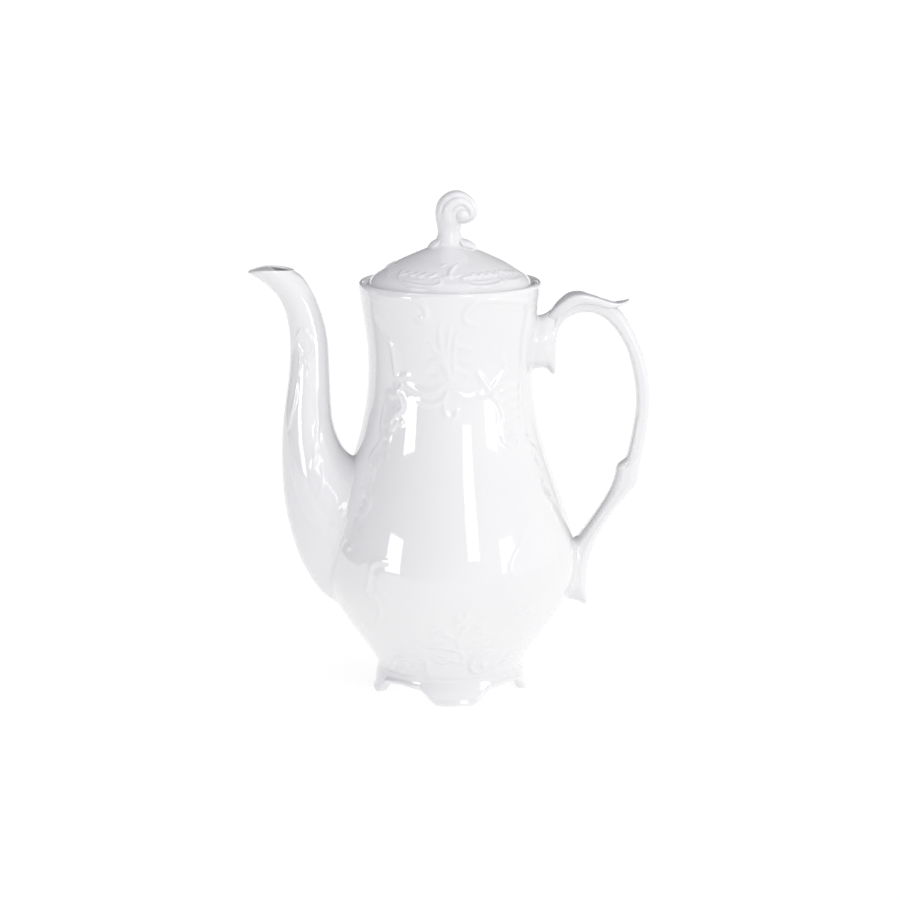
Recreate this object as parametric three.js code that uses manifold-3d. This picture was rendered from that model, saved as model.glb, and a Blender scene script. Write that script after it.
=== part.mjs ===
// A tall porcelain coffee pot on a scalloped four-footed base, with a lift-off lid.
// Millimetres, +Z up. The origin is on the pot's axis at the plane it stands on,
// the spout points along -X and the handle along +X.

import * as THREE from "three";
import { LoftGeometry } from "three/addons/geometries/LoftGeometry.js";
import { mergeVertices } from "three/addons/utils/BufferGeometryUtils.js";
import Module from "manifold-3d";

const wasm = await Module();
wasm.setup();

// ---- Driving dimensions -----------------------------------------------------

const JOINT_GAP = 0.3; // left between two castings that are fired onto each other

// Vessel: four rings set its silhouette, from the ankle above the foot to the rim.
const ANKLE_Z = 14;
const ANKLE_R = 37.8;
const BELLY_Z = 66;
const BELLY_R = 65;
const WAIST_Z = 169;
const WAIST_R = 42;
const RIM_Z = 214;
const RIM_R = 47.1;
const WALL = 3.2;
const FLOOR = 4;

// Seat for the lid: a ledge inside the rim.
const RIM_WALL = 3.3; // wall beside the lid's edge
const SEAT_DEPTH = 3; // ledge's top below the rim
const LEDGE_WIDTH = 5.3;
const LEDGE_THICKNESS = 3;

// Foot ring: four feet with an arch between each two.
const FOOT_COUNT = 4;
const FOOT_R = 39.4;
const FOOT_WALL = 5;
const FOOT_FLAT_ANGLE = 12; // degrees each side of a foot's middle that stand flat
const ARCH_FULL_ANGLE = 31; // degrees from a foot's middle to the arch's full height
const ARCH_HEIGHT = 9;

// Spout: it leaves the belly as a tall oval and narrows to a level mouth.
const SPOUT_DROP = 24; // spout's lowest edge below the belly ring
const MOUTH_RISE = 5.5; // mouth above the rim, so that a full pot does not run out
const SPOUT_WALL = 2.6;
const LIP_WALL = 1.8;
const STRAINER_HOLE_D = 6.5;
const STRAINER_PITCH = 11; // from the middle hole to the ring of holes

// Handle: one thick ribbon that leaves the neck, loops out and returns to the belly.
const HANDLE_DROP = 23; // handle's lowest edge below the belly ring
const CREST_DROP = 6.3; // top of the thumb rest below the rim
const ROOT_DEPTH = 6; // how far a root reaches into the wall before it is trimmed to it

// Lid: a shallow dome with a collar that hangs in the neck.
const LID_EDGE_THICKNESS = 2.2;
const LID_RISE = 19; // from the dome's edge to the pad under the knob
const LID_WALL = 3;
const LID_SIDE_GAP = 1.4; // between the lid's edge and the rim around it
const KNOB_PAD_R = 9;
const VENT_D = 3;
const VENT_R = 24; // vent hole, behind the knob
const COLLAR_GAP = 0.9; // between the collar and the ledge's bore
const COLLAR_THICKNESS = 2.6;
const COLLAR_LENGTH = 15;

// Lock tab on the collar, and the notch that it passes through.
const TAB_WIDTH = 12;
const TAB_HEIGHT = 6;
const TAB_DROP = 8; // tab's top below the ledge's top
const TAB_WALL_GAP = 0.9; // between the tab's nose and the vessel's wall
const NOTCH_SIDE_GAP = 1;

// Knob: a scroll that curls over its own stem.
const KNOB_HEIGHT = 27;

// Fineness of the faceted surfaces.
const AROUND = 48; // facets around the pot's axis
const TUBE_AROUND = 16; // facets around the spout, the handle and the knob

// ---- Solids and meshes ------------------------------------------------------

// Turns a closed geometry into a solid: welds its vertices, drops the slivers that
// close up on the axis, and makes its faces point out.
function solidOf(geometry) {
  const bare = new THREE.BufferGeometry().copy(geometry);
  bare.deleteAttribute("normal");
  bare.deleteAttribute("uv");
  const welded = mergeVertices(bare, 1e-4);
  const at = welded.getAttribute("position");
  const corners = [0, 1, 2].map(() => new THREE.Vector3());
  const triangles = [];
  let volume = 0;
  for (let i = 0; i < welded.index.count; i += 3) {
    const ids = [0, 1, 2].map((k) => welded.index.getX(i + k));
    if (new Set(ids).size < 3) continue;
    triangles.push(ids);
    corners.forEach((corner, k) => corner.fromBufferAttribute(at, ids[k]));
    volume += corners[0].dot(corners[1].clone().cross(corners[2]));
  }
  if (volume < 0) triangles.forEach((ids) => ids.reverse());
  return new wasm.Manifold(new wasm.Mesh({
    numProp: 3,
    vertProperties: new Float32Array(at.array),
    triVerts: new Uint32Array(triangles.flat()),
  }));
}

function meshOf(name, solid, material) {
  const { vertProperties, triVerts } = solid.getMesh();
  const geometry = new THREE.BufferGeometry();
  geometry.setAttribute("position", new THREE.BufferAttribute(vertProperties, 3));
  geometry.setIndex(new THREE.BufferAttribute(triVerts, 1));
  geometry.computeVertexNormals();
  const mesh = new THREE.Mesh(geometry, material);
  mesh.name = name;
  return mesh;
}

// A solid of revolution about +Z from [radius, z] points that start and end on the
// axis, or that close on themselves.
function turned(points) {
  const profile = points.map(([radius, z]) => new THREE.Vector2(radius, z));
  return solidOf(new THREE.LatheGeometry(profile, AROUND).rotateX(Math.PI / 2));
}

function block([width, depth, height], [x, y, z]) {
  return solidOf(new THREE.BoxGeometry(width, depth, height).translate(x, y, z));
}

function rod(diameter, length) {
  return new THREE.CylinderGeometry(diameter / 2, diameter / 2, length, TUBE_AROUND);
}

// A tube with oval sections. Each rib, [x, z, x, z, half-width], joins two points in
// the plane y = 0, one on each edge of the tube's side view. inset shrinks every
// section by that much all round, from inset[0] at the first rib to inset[1] at the last.
function ribbedTube(ribs, steps, inset = [0, 0]) {
  const track = (pick) => new THREE.CatmullRomCurve3(ribs.map(pick), false, "centripetal");
  const firstEdge = track((r) => new THREE.Vector3(r[0], 0, r[1]));
  const lastEdge = track((r) => new THREE.Vector3(r[2], 0, r[3]));
  const widths = track((r, i) => new THREE.Vector3(i * 10, 0, r[4]));
  const sections = [];
  for (let i = 0; i <= steps; i++) {
    const t = i / steps;
    const a = firstEdge.getPoint(t);
    const b = lastEdge.getPoint(t);
    const thinning = THREE.MathUtils.lerp(inset[0], inset[1], t);
    const middle = a.clone().add(b).multiplyScalar(0.5);
    const half = b.clone().sub(a).multiplyScalar(0.5);
    half.setLength(half.length() - thinning);
    const across = widths.getPoint(t).z - thinning;
    const ring = [];
    for (let j = 0; j < TUBE_AROUND; j++) {
      const turn = (2 * Math.PI * j) / TUBE_AROUND;
      ring.push(new THREE.Vector3(
        middle.x + Math.cos(turn) * half.x,
        Math.sin(turn) * across,
        middle.z + Math.cos(turn) * half.z,
      ));
    }
    sections.push(ring);
  }
  return solidOf(new LoftGeometry(sections, { capStart: true, capEnd: true }));
}

// ---- Vessel -----------------------------------------------------------------

const span = (radius, z, toRadius, toZ) => {
  const bend = (r, height) => new THREE.Vector2(r, height);
  return { from: bend(radius, z), to: bend(toRadius, toZ), rise: toZ - z };
};

// The silhouette is three curves that share their tangents at the belly and the waist.
const bowl = span(ANKLE_R, ANKLE_Z, BELLY_R, BELLY_Z);
const shoulder = span(BELLY_R, BELLY_Z, WAIST_R, WAIST_Z);
const neck = span(WAIST_R, WAIST_Z, RIM_R, RIM_Z);
const silhouette = [
  [new THREE.CubicBezierCurve(
    bowl.from,
    new THREE.Vector2(ANKLE_R, ANKLE_Z + 0.08 * bowl.rise),
    new THREE.Vector2(BELLY_R, BELLY_Z - 0.38 * bowl.rise),
    bowl.to,
  ), 9],
  [new THREE.CubicBezierCurve(
    shoulder.from,
    new THREE.Vector2(BELLY_R, BELLY_Z + 0.31 * shoulder.rise),
    new THREE.Vector2(WAIST_R, WAIST_Z - 0.43 * shoulder.rise),
    shoulder.to,
  ), 10],
  [new THREE.CubicBezierCurve(
    neck.from,
    new THREE.Vector2(WAIST_R, WAIST_Z + 0.32 * neck.rise),
    new THREE.Vector2(RIM_R - 0.92 * (RIM_R - WAIST_R), RIM_Z - 0.69 * neck.rise),
    neck.to,
  ), 5],
];

// The silhouette's points moved inwards by depth, square to the surface.
function wallPoints(depth) {
  const points = [];
  silhouette.forEach(([curve, steps], part) => {
    for (let i = part === 0 ? 0 : 1; i <= steps; i++) {
      const at = curve.getPoint(i / steps);
      const along = curve.getTangent(i / steps);
      points.push([at.x - depth * along.y, at.y + depth * along.x]);
    }
  });
  return points;
}

// Radius of a chain of rising [radius, z] points at height z.
function radiusAt(points, z) {
  const above = points.findIndex((point) => point[1] >= z);
  if (above < 1) return points[above === 0 ? 0 : points.length - 1][0];
  const [lowR, lowZ] = points[above - 1];
  const [highR, highZ] = points[above];
  return THREE.MathUtils.mapLinear(z, lowZ, highZ, lowR, highR);
}

const outerWall = wallPoints(0);
const innerWall = wallPoints(WALL);
const vesselRadius = (z) => radiusAt(outerWall, z);
const hollowRadius = (z) => radiusAt(innerWall, z);

const seatZ = RIM_Z - SEAT_DEPTH;
const mouthR = RIM_R - RIM_WALL;
const seatR = mouthR - LEDGE_WIDTH;
const ledgeZ = seatZ - LEDGE_THICKNESS;
const floorZ = ANKLE_Z + FLOOR;

// The ledge's underside slopes at 45 degrees to meet the wall.
let slopeZ = ledgeZ;
while (hollowRadius(slopeZ) > seatR + (ledgeZ - slopeZ)) slopeZ -= 0.25;

const inside = [
  [0, floorZ],
  [hollowRadius(floorZ), floorZ],
  ...innerWall.filter(([, z]) => z > floorZ + 0.5 && z < slopeZ - 0.5),
  [hollowRadius(slopeZ), slopeZ],
  [seatR, ledgeZ],
  [seatR, seatZ],
  [mouthR, seatZ],
  [mouthR, RIM_Z + 1],
  [0, RIM_Z + 1],
];
const outside = [[0, ANKLE_Z], ...outerWall, [0, RIM_Z]];

const collarR = seatR - COLLAR_GAP;
const tabTopZ = seatZ - TAB_DROP;
const tabReach = Math.min(hollowRadius(tabTopZ - TAB_HEIGHT), hollowRadius(tabTopZ)) - TAB_WALL_GAP;
const notchReach = tabReach + NOTCH_SIDE_GAP;
const notch = block(
  [notchReach, TAB_WIDTH + 2 * NOTCH_SIDE_GAP, RIM_Z - slopeZ + 2],
  [-notchReach / 2, 0, (RIM_Z + slopeZ) / 2 + 1],
);

const spoutLowZ = BELLY_Z - SPOUT_DROP;
const spoutRise = RIM_Z + MOUTH_RISE - spoutLowZ;
const spoutRootZ = spoutLowZ + 0.24 * spoutRise;

// Seven holes through the wall behind the spout hold back the grounds.
function strainerHoles() {
  const holes = [[0, 0]];
  for (let i = 0; i < 6; i++) {
    const turn = (i + 0.5) * (Math.PI / 3);
    holes.push([STRAINER_PITCH * Math.cos(turn), STRAINER_PITCH * Math.sin(turn)]);
  }
  return holes.map(([y, up]) => solidOf(
    rod(STRAINER_HOLE_D, 30)
      .rotateZ(Math.PI / 2)
      .translate(-vesselRadius(spoutRootZ + up) + WALL / 2, y, spoutRootZ + up),
  ));
}

let vessel = turned(outside).subtract(turned(inside)).subtract(notch);
for (const hole of strainerHoles()) vessel = vessel.subtract(hole);

// What is luted onto the vessel is trimmed to this form, its outside plus the joint gap.
const swollenWall = wallPoints(-JOINT_GAP);
const trimmer = turned([
  [0, ANKLE_Z - JOINT_GAP],
  [ANKLE_R + JOINT_GAP, ANKLE_Z - JOINT_GAP],
  ...swollenWall.slice(1, -1),
  [RIM_R + JOINT_GAP, RIM_Z + 1],
  [0, RIM_Z + 1],
]);

// ---- Foot ring --------------------------------------------------------------

function footRing() {
  const footTopZ = ANKLE_Z - JOINT_GAP;
  const bay = 360 / FOOT_COUNT;
  const steps = 2 * AROUND;
  const sections = [];
  for (let i = 0; i <= steps; i++) {
    const degrees = (360 * (i % steps)) / steps;
    const fromFoot = Math.abs(((degrees + bay / 2) % bay) - bay / 2);
    const low = ARCH_HEIGHT * THREE.MathUtils.smoothstep(fromFoot, FOOT_FLAT_ANGLE, ARCH_FULL_ANGLE);
    const kneeZ = THREE.MathUtils.lerp(low, footTopZ, 0.45);
    const turn = THREE.MathUtils.degToRad(degrees);
    const section = [
      [FOOT_R, low],
      [FOOT_R - 0.2, kneeZ],
      [ANKLE_R, footTopZ],
      [ANKLE_R - FOOT_WALL, footTopZ],
      [FOOT_R - FOOT_WALL, low],
    ];
    sections.push(section.map(([radius, z]) => (
      new THREE.Vector3(radius * Math.cos(turn), radius * Math.sin(turn), z)
    )));
  }
  return solidOf(new LoftGeometry(sections));
}

// ---- Spout ------------------------------------------------------------------

// Ribs from the root, inside the wall, to the mouth. "out" is measured from the belly
// ring outwards and "up" is the share of the spout's rise, lower edge first.
function spoutRibs(extraIn = 0, extraUp = 0) {
  const free = (out, up, outTop, upTop, halfWidth) => [
    -(BELLY_R + out), spoutLowZ + up * spoutRise,
    -(BELLY_R + outTop), spoutLowZ + upTop * spoutRise,
    halfWidth,
  ];
  const root = (up, upTop, halfWidth, depth) => {
    const [low, high] = [spoutLowZ + up * spoutRise, spoutLowZ + upTop * spoutRise];
    return [-(vesselRadius(low) - depth), low, -(vesselRadius(high) - depth), high, halfWidth];
  };
  return [
    root(-0.01, 0.47, 24, ROOT_DEPTH + extraIn),
    free(6, 0.087, -9.5, 0.495, 24),
    free(14.5, 0.184, -7, 0.525, 21.5),
    free(20.3, 0.32, -4.9, 0.566, 18),
    free(21.6, 0.445, -4.2, 0.612, 15),
    free(20.6, 0.57, -3.6, 0.665, 12.5),
    free(17.4, 0.7, -3.1, 0.74, 10.8),
    free(17, 0.81, -2.2, 0.815, 9.6),
    free(21, 0.908, 3, 0.905, 9),
    free(28, 0.968, 9.6, 0.972, 9),
    free(37.8, 1, 14.2, 1, 9.2),
    ...(extraUp > 0 ? [free(47, 1 + extraUp, 17, 1 + extraUp, 9.4)] : []),
  ];
}

const spout = ribbedTube(spoutRibs(), 22)
  .subtract(ribbedTube(spoutRibs(8, 0.05), 24, [SPOUT_WALL, LIP_WALL]))
  .subtract(trimmer);

// ---- Handle -----------------------------------------------------------------

const handleLowZ = BELLY_Z - HANDLE_DROP;
const handleRise = RIM_Z - CREST_DROP - handleLowZ;

// Ribs from the upper root, over the top of the loop, to the lower root: first the
// outer edge, then the inner edge of the loop.
function handleRibs() {
  const free = (out, up, inner, upInner, halfWidth) => [
    BELLY_R + out, handleLowZ + up * handleRise,
    BELLY_R + inner, handleLowZ + upInner * handleRise,
    halfWidth,
  ];
  const root = (up, upInner, halfWidth) => {
    const [high, low] = [handleLowZ + up * handleRise, handleLowZ + upInner * handleRise];
    const depth = ROOT_DEPTH;
    return [vesselRadius(high) - depth, high, vesselRadius(low) - depth, low, halfWidth];
  };
  return [
    root(0.9, 0.76, 13),
    free(-16.6, 0.931, -10.7, 0.741, 11.5),
    free(-10.5, 0.957, -11.4, 0.83, 8),
    free(-4.8, 0.993, -8, 0.9, 6.5),
    free(3.5, 0.996, 2.5, 0.934, 6.2),
    free(13, 0.983, 10.5, 0.928, 6),
    free(22, 0.953, 18.1, 0.897, 5.8),
    free(27.6, 0.895, 22.6, 0.866, 5.6),
    free(31.8, 0.845, 26.1, 0.82, 5.5),
    free(36.4, 0.769, 29.7, 0.744, 5.5),
    free(38.2, 0.652, 31.5, 0.65, 5.5),
    free(37.2, 0.564, 30, 0.567, 5.5),
    free(34.8, 0.486, 27.2, 0.486, 5.8),
    free(32.6, 0.41, 22.6, 0.43, 6.2),
    free(28.2, 0.362, 18.6, 0.37, 6.4),
    free(21, 0.308, 12.6, 0.313, 6.8),
    free(14, 0.243, 6, 0.246, 7.6),
    free(8.4, 0.18, -3, 0.205, 10),
    free(6.6, 0.09, -12, 0.14, 13),
    free(6.2, 0, -14, 0.04, 14),
  ];
}

// The thumb rest is a pointed leaf that lies over the top of the loop.
function thumbRest() {
  const z = (up) => handleLowZ + up * handleRise;
  return ribbedTube([
    [BELLY_R - 3, z(0.99), BELLY_R - 2, z(0.95), 5],
    [BELLY_R + 6, z(0.996), BELLY_R + 7, z(0.95), 7],
    [BELLY_R + 16, z(0.978), BELLY_R + 15, z(0.945), 6],
    [BELLY_R + 26, z(0.971), BELLY_R + 25.5, z(0.96), 2],
  ], 8);
}

const handle = ribbedTube(handleRibs(), 36).add(thumbRest()).subtract(trimmer);

// ---- Lid --------------------------------------------------------------------

const lidR = mouthR - LID_SIDE_GAP;
const lidUnderZ = seatZ + JOINT_GAP;
const lidEdgeZ = lidUnderZ + LID_EDGE_THICKNESS;
const padZ = lidEdgeZ + LID_RISE;

const dome = new THREE.CubicBezierCurve(
  new THREE.Vector2(lidR, lidEdgeZ),
  new THREE.Vector2(lidR - 2.4, lidEdgeZ + 0.36 * LID_RISE),
  new THREE.Vector2(KNOB_PAD_R + 9, padZ - 0.22 * LID_RISE),
  new THREE.Vector2(KNOB_PAD_R, padZ),
);

function lidCover() {
  const steps = 10;
  const top = [];
  const under = [];
  for (let i = 0; i <= steps; i++) {
    const at = dome.getPoint(i / steps);
    const along = dome.getTangent(i / steps);
    top.push([at.x, at.y]);
    under.push([at.x - LID_WALL * along.y, at.y + LID_WALL * along.x]);
  }
  const underLimitR = collarR - COLLAR_THICKNESS;
  const cover = turned([
    [0, padZ - LID_WALL],
    [KNOB_PAD_R, padZ - LID_WALL],
    ...under.filter(([r, z]) => r > KNOB_PAD_R + 1 && r < underLimitR - 1 && z > lidUnderZ + 1).reverse(),
    [underLimitR, lidUnderZ],
    [lidR, lidUnderZ],
    ...top,
    [0, padZ],
  ]);
  const vent = solidOf(rod(VENT_D, 60).rotateX(Math.PI / 2).translate(0, VENT_R, padZ));
  return cover.subtract(vent);
}

const collarTopZ = lidUnderZ - JOINT_GAP;
const collarBottomZ = collarTopZ - COLLAR_LENGTH;

const collar = turned([
  [collarR - COLLAR_THICKNESS, collarBottomZ],
  [collarR, collarBottomZ],
  [collarR, collarTopZ],
  [collarR - COLLAR_THICKNESS, collarTopZ],
  [collarR - COLLAR_THICKNESS, collarBottomZ],
]);

// The tab's inner face follows the collar and its nose follows the vessel's wall.
const tabBand = turned([
  [collarR + JOINT_GAP, tabTopZ - TAB_HEIGHT],
  [tabReach, tabTopZ - TAB_HEIGHT],
  [tabReach, tabTopZ],
  [collarR + JOINT_GAP, tabTopZ],
  [collarR + JOINT_GAP, tabTopZ - TAB_HEIGHT],
]);
const lockTab = tabBand.intersect(block(
  [2 * RIM_R, TAB_WIDTH, 3 * TAB_HEIGHT],
  [-RIM_R, 0, tabTopZ],
));

// ---- Knob -------------------------------------------------------------------

// Ribs from the foot on the lid up the stem and round the scroll, as x and height
// shares of the knob: the outside of the curl first.
function knobRibs() {
  const knobZ = padZ + JOINT_GAP;
  const rib = (x, up, innerX, upInner, halfWidth) => [
    x, knobZ + up * KNOB_HEIGHT, innerX, knobZ + upInner * KNOB_HEIGHT, halfWidth,
  ];
  return [
    rib(-8.6, 0, 8.6, 0, 8.4),
    rib(-7.2, 0.17, 6, 0.19, 6),
    rib(-6.2, 0.28, 5, 0.27, 5.2),
    rib(-6.8, 0.45, 3, 0.37, 6.2),
    rib(-7.2, 0.66, 2.6, 0.57, 7.6),
    rib(-2, 0.955, 4.2, 0.63, 8.4),
    rib(4.6, 1, 5.8, 0.635, 8.4),
    rib(11.8, 0.81, 7.2, 0.6, 7.6),
    rib(14, 0.6, 7.6, 0.55, 6.4),
    rib(11.3, 0.44, 6.6, 0.52, 4.6),
  ];
}

const knob = ribbedTube(knobRibs(), 20);

// ---- The assembled pot ------------------------------------------------------

// Each piece is a separate casting of one white glazed porcelain.
const glaze = (shade) => new THREE.MeshStandardMaterial({
  color: new THREE.Color(shade, shade, shade * 0.99),
  roughness: 0.08,
  metalness: 0,
});

const pot = new THREE.Group();
pot.name = "pot";
pot.add(
  meshOf("pot_body", vessel, glaze(0.86)),
  meshOf("foot_skirt", footRing(), glaze(0.85)),
  meshOf("spout", spout, glaze(0.86)),
  meshOf("handle", handle, glaze(0.86)),
);

const lid = new THREE.Group();
lid.name = "lid";
lid.add(
  meshOf("lid_cover", lidCover(), glaze(0.87)),
  meshOf("lid_collar", collar, glaze(0.84)),
  meshOf("lid_lock_tab", lockTab, glaze(0.84)),
  meshOf("lid_knob", knob, glaze(0.87)),
);

const coffeePot = new THREE.Group();
coffeePot.name = "coffee_pot";
coffeePot.add(pot, lid);

export default coffeePot;
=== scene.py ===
"""Looks for the porcelain coffee pot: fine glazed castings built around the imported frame.

Shapes are worked out in millimetres in the frame's own axes (+X handle, -X spout, -Y front,
+Z up) and turned into metres when a mesh is made.
"""

import math

import bpy
import numpy as np
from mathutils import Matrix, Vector
from mathutils.bvhtree import BVHTree


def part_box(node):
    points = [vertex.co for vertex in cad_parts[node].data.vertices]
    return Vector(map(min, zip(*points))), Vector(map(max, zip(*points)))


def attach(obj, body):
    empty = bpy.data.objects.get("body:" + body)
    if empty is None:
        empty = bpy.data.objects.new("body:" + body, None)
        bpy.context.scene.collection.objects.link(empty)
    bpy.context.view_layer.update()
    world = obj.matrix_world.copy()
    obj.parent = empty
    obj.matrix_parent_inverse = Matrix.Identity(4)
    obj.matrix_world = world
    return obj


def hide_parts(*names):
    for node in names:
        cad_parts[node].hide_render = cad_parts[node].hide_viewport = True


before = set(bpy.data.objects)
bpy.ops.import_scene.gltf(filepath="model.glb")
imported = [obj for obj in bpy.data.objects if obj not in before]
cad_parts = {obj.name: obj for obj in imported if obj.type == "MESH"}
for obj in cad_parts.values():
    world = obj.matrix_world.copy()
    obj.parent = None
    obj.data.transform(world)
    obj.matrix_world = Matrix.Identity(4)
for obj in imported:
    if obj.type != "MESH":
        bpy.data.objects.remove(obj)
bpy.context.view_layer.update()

MM = 0.001


def node_box(node):
    low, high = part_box(node)
    return np.array(low) / MM, np.array(high) / MM


# ---- Sizes, in millimetres ---------------------------------------------------

BODY_LOW, BODY_HIGH = node_box("pot_body")
COVER_LOW, COVER_HIGH = node_box("lid_cover")
COLLAR_LOW, COLLAR_HIGH = node_box("lid_collar")
TAB_LOW, TAB_HIGH = node_box("lid_lock_tab")

ANKLE_Z, RIM_Z = BODY_LOW[2], BODY_HIGH[2]
ANKLE_R = 37.8
BELLY_R, BELLY_Z = BODY_HIGH[0], 66.0
WAIST_R, WAIST_Z = 42.0, 169.0
RIM_R = 47.1
WALL, FLOOR = 3.2, 4.0
MOUTH_R, SEAT_R = 43.8, 38.5
SEAT_DEPTH, LEDGE = 3.0, 3.0
NOTCH_R, NOTCH_HALF = 41.5, 7.0
LID_R = COVER_HIGH[0] - 0.8
EDGE_Z, KNOB_PAD_Z = COVER_LOW[2], COVER_HIGH[2]
COLLAR_R, COLLAR_WALL = COLLAR_HIGH[0], 2.6

RIM_ROUND = 1.5
HOLE_D, HOLE_PITCH, HOLE_LENGTH = 6.5, 11.0, 30.0  # the strainer's holes
HOLE_Z = BELLY_Z + 18.6
FOOT_WALL, ARCH_HEIGHT = 4.6, 8.4
VENT_D, VENT_OUT = 3.0, 24

COLUMNS = 384  # facets round the vessel
LID_COLUMNS = 320
SINK = 1.2  # how deep a fused piece ends inside the wall it stands on
LIFT = 0.03  # a fused piece's thin edge lies this far proud of the wall


# ---- Curves and meshes -------------------------------------------------------

def smooth(points, count):
    """count points on a smooth curve through the given ones, in any number of dimensions."""
    p = np.asarray(points, float)
    step = np.linalg.norm(np.diff(p, axis=0), axis=1) ** 0.5
    at = np.concatenate([[0.0], np.cumsum(step)])
    slope = np.diff(p, axis=0) / step[:, None]
    share = (step[:-1] / (step[:-1] + step[1:]))[:, None]
    tangent = np.vstack([slope[:1], slope[:-1] * (1 - share) + slope[1:] * share, slope[-1:]])
    t = np.linspace(0.0, at[-1], count)
    i = np.clip(np.searchsorted(at, t, side="right") - 1, 0, len(step) - 1)
    h = step[i]
    u = ((t - at[i]) / h)[:, None]
    h = h[:, None]
    return (p[i] * (2 * u**3 - 3 * u**2 + 1) + tangent[i] * h * (u**3 - 2 * u**2 + u)
            + p[i + 1] * (3 * u**2 - 2 * u**3) + tangent[i + 1] * h * (u**3 - u**2))


def evenly(points, count):
    """The polyline resampled to count points, evenly spaced along it."""
    p = np.asarray(points, float)
    at = np.concatenate([[0.0], np.cumsum(np.linalg.norm(np.diff(p, axis=0), axis=1))])
    t = np.linspace(0.0, at[-1], count)
    return np.stack([np.interp(t, at, p[:, k]) for k in range(p.shape[1])], axis=1)


def bezier(p0, p1, p2, p3, count):
    """Points on a cubic curve from p0 to p3, with p1 and p2 as its handles."""
    t = np.linspace(0.0, 1.0, count)[:, None]
    p0, p1, p2, p3 = (np.array(p, float) for p in (p0, p1, p2, p3))
    return (1 - t)**3 * p0 + 3 * (1 - t)**2 * t * p1 + 3 * (1 - t) * t**2 * p2 + t**3 * p3


def arc(centre, radius, start, end, count):
    """Points on an arc in (r, z), angles in degrees from the outward direction."""
    t = np.radians(np.linspace(start, end, count))
    return np.stack([centre[0] + radius * np.cos(t), centre[1] + radius * np.sin(t)], axis=1)


def bump(gap):
    """1 in the middle of a stroke, falling smoothly to 0 at a distance of 1."""
    return np.where(gap < 1, 0.5 + 0.5 * np.cos(math.pi * np.minimum(gap, 1)), 0)


def ease(x):
    """A smooth step from 0 to 1."""
    x = np.clip(x, 0.0, 1.0)
    return x * x * (3 - 2 * x)


def tangents(outline):
    """Unit directions along an outline."""
    along = np.gradient(outline, axis=0)
    return along / np.linalg.norm(along, axis=1)[:, None]


def outward(outline, angles):
    """Unit directions away from the turned surface, at the points that turned_rings gives."""
    along = tangents(outline)
    turn = np.radians(angles)
    nr, nz = along[:, 1:], -along[:, :1]
    return np.stack([nr * np.sin(turn), -nr * np.cos(turn), nz + 0 * turn], axis=-1)


def full_turn(count):
    """count angles, evenly round from 0, in radians."""
    return np.linspace(0, 2 * math.pi, count, endpoint=False)


def turned_rings(outline, angles):
    """Rings of points round the axis for each (r, z) of the outline. Angle 0 is the front."""
    a = np.radians(angles)
    r, z = outline[:, :1], outline[:, 1:2]
    return np.stack([r * np.sin(a), -r * np.cos(a), z + 0 * a], axis=-1)


def skin(rings):
    """Vertices and faces over rings of equal length, with each end drawn to its middle."""
    rows, cols, _ = rings.shape
    index = np.arange(rows * cols).reshape(rows, cols)
    following = np.roll(index, -1, axis=1)
    quads = np.stack([index[:-1], following[:-1], following[1:], index[1:]], axis=-1)
    verts = [rings.reshape(-1, 3)]
    faces = quads.reshape(-1, 4).tolist()
    ends = ((rings[0], following[0], index[0]), (rings[-1], index[-1], following[-1]))
    for ring, first, second in ends:
        middle = rows * cols + len(verts) - 1
        verts.append(ring.mean(axis=0)[None])
        faces += [[int(a), int(b), middle] for a, b in zip(first, second)]
    return np.vstack(verts), faces


def ring_of_sections(sections):
    """Faces over sections that follow each other round and close on the first one."""
    rows, cols, _ = sections.shape
    index = np.arange(rows * cols).reshape(rows, cols)
    across = np.roll(index, -1, axis=1)
    quads = np.stack([index, across, np.roll(across, -1, axis=0), np.roll(index, -1, axis=0)], axis=-1)
    return sections.reshape(-1, 3), quads.reshape(-1, 4).tolist()


def signed_volume(verts, faces):
    """The volume inside a closed mesh, below zero when its faces look inwards."""
    total = 0.0
    for size in (3, 4):
        f = np.array([face for face in faces if len(face) == size])
        if len(f):
            for k in range(1, size - 1):
                a, b, c = verts[f[:, 0]], verts[f[:, k]], verts[f[:, k + 1]]
                total += np.einsum("ij,ij->i", a, np.cross(b, c)).sum() / 6
    return total


def add_piece(name, shape, body, node):
    """One finished piece: a closed smooth mesh that rides on a body in place of a CAD node."""
    verts, faces = shape
    if signed_volume(verts, faces) < 0:
        faces = [face[::-1] for face in faces]
    mesh = bpy.data.meshes.new(name)
    mesh.from_pydata((verts * MM).tolist(), [], faces)
    mesh.polygons.foreach_set("use_smooth", [True] * len(mesh.polygons))
    mesh.update()
    piece = bpy.data.objects.new(name, mesh)
    bpy.context.scene.collection.objects.link(piece)
    mesh.materials.append(pot_glaze if body == "pot" else lid_glaze)
    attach(piece, body)
    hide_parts(node)
    return piece


def cut_holes(piece, centres, axis, diameter, length):
    """Round holes through a piece, at centres in millimetres along an axis."""
    cutters = []
    for centre in centres:
        bpy.ops.mesh.primitive_cylinder_add(
            vertices=24, radius=diameter / 2 * MM, depth=length * MM,
            location=Vector(centre) * MM, rotation=Vector(axis).to_track_quat("Z", "Y").to_euler())
        cutters.append(bpy.context.object)
    for cutter in cutters:
        cut = piece.modifiers.new("hole", "BOOLEAN")
        cut.operation, cut.solver, cut.object = "DIFFERENCE", "MANIFOLD", cutter
    bpy.context.view_layer.update()
    evaluated = piece.evaluated_get(bpy.context.evaluated_depsgraph_get())
    drilled = bpy.data.meshes.new_from_object(evaluated)
    piece.modifiers.clear()
    piece.data = drilled
    for cutter in cutters:
        bpy.data.objects.remove(cutter)


# ---- Distance fields, and pieces fused to a wall --------------------------------

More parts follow.
